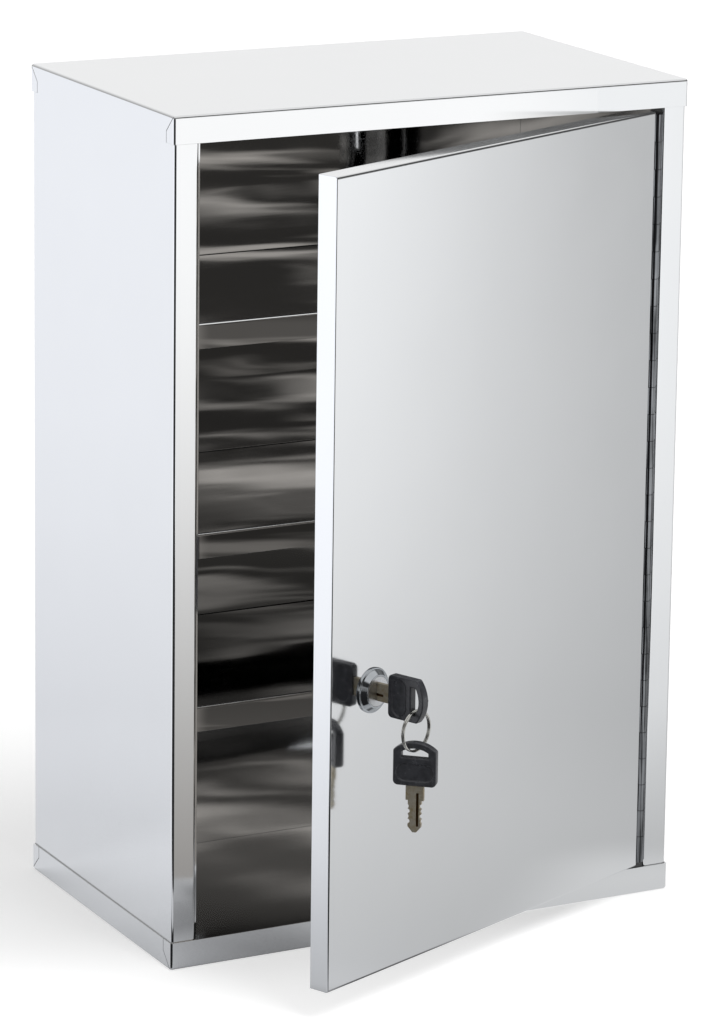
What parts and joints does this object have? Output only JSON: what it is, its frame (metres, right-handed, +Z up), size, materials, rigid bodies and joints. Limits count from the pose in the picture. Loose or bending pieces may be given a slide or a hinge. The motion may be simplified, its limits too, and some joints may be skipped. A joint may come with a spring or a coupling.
{
  "type": "lockable medicine cabinet",
  "caption": "Upright stainless sheet cabinet with fixed shelves, a side-hinged inset door and a keyed cam lock with its keys on a split ring.",
  "frame": {"origin": "middle of the cabinet's base, on the surface that it stands on", "axes": "+X to the hinge side, +Y to the back, +Z up; the door opens towards -Y"},
  "size_m": [0.3, 0.305, 0.45],
  "materials": {
    "stainless_sheet": "mirror-polished stainless sheet, folded",
    "hinge_steel": "bright rolled stainless strip",
    "lock_chrome": "chrome-plated zinc die casting",
    "wafer_brass": "stamped brass",
    "cam_steel": "zinc-plated steel",
    "key_nickel": "nickel-plated brass, milled",
    "key_plastic": "moulded black plastic, satin",
    "ring_steel": "nickel-plated spring wire"
  },
  "bodies": {
    "cabinet": {"top_tray": "stainless_sheet", "bottom_tray": "stainless_sheet", "left_side": "stainless_sheet", "right_side": "stainless_sheet", "back_panel": "stainless_sheet", "upper_shelf": "stainless_sheet", "middle_shelf": "stainless_sheet", "lower_shelf": "stainless_sheet", "hinge_frame_leaf": "hinge_steel", "hinge_pin": "hinge_steel"},
    "door": {"door_pan": "stainless_sheet", "door_liner": "stainless_sheet", "hinge_door_leaf": "hinge_steel", "lock_barrel": "lock_chrome", "lock_nut": "lock_chrome"},
    "plug": {"lock_plug": "lock_chrome", "lock_wafers": "wafer_brass", "lock_cam": "cam_steel", "cam_screw": "cam_steel"},
    "key": {"key_blade": "key_nickel", "key_head": "key_plastic"},
    "ring": {"key_ring": "ring_steel"},
    "spare_key": {"spare_blade": "key_nickel", "spare_head": "key_plastic"}
  },
  "joints": [
    {"name": "door_hinge", "type": "hinge", "parent": "cabinet", "child": "door", "pos_m": [0.1324, -0.0888, 0], "axis": [0, 0, 1], "range_deg": [-23, 77]},
    {"name": "lock_turn", "type": "hinge", "parent": "door", "child": "plug", "pos_m": [-0.08106, -0.18071, 0.168], "axis": [0.3907, -0.9205, 0], "range_deg": [0, 90]},
    {"name": "key_pull", "type": "slide", "parent": "plug", "child": "key", "axis": [0.3907, -0.9205, 0], "range_m": [0, 0.028]},
    {"name": "ring_hang", "type": "hinge", "parent": "key", "child": "ring", "pos_m": [-0.06945, -0.20588, 0.1598], "axis": [0.3907, -0.9205, 0], "range_deg": [-90, 0]},
    {"name": "spare_swing", "type": "hinge", "parent": "ring", "child": "spare_key", "pos_m": [-0.06945, -0.20588, 0.14186], "axis": [0.9205, 0.3907, 0], "range_deg": [-35, 15]}
  ],
  "couplings": [
    {"joint": "ring_hang", "follows": "lock_turn", "ratio": -1}
  ]
}
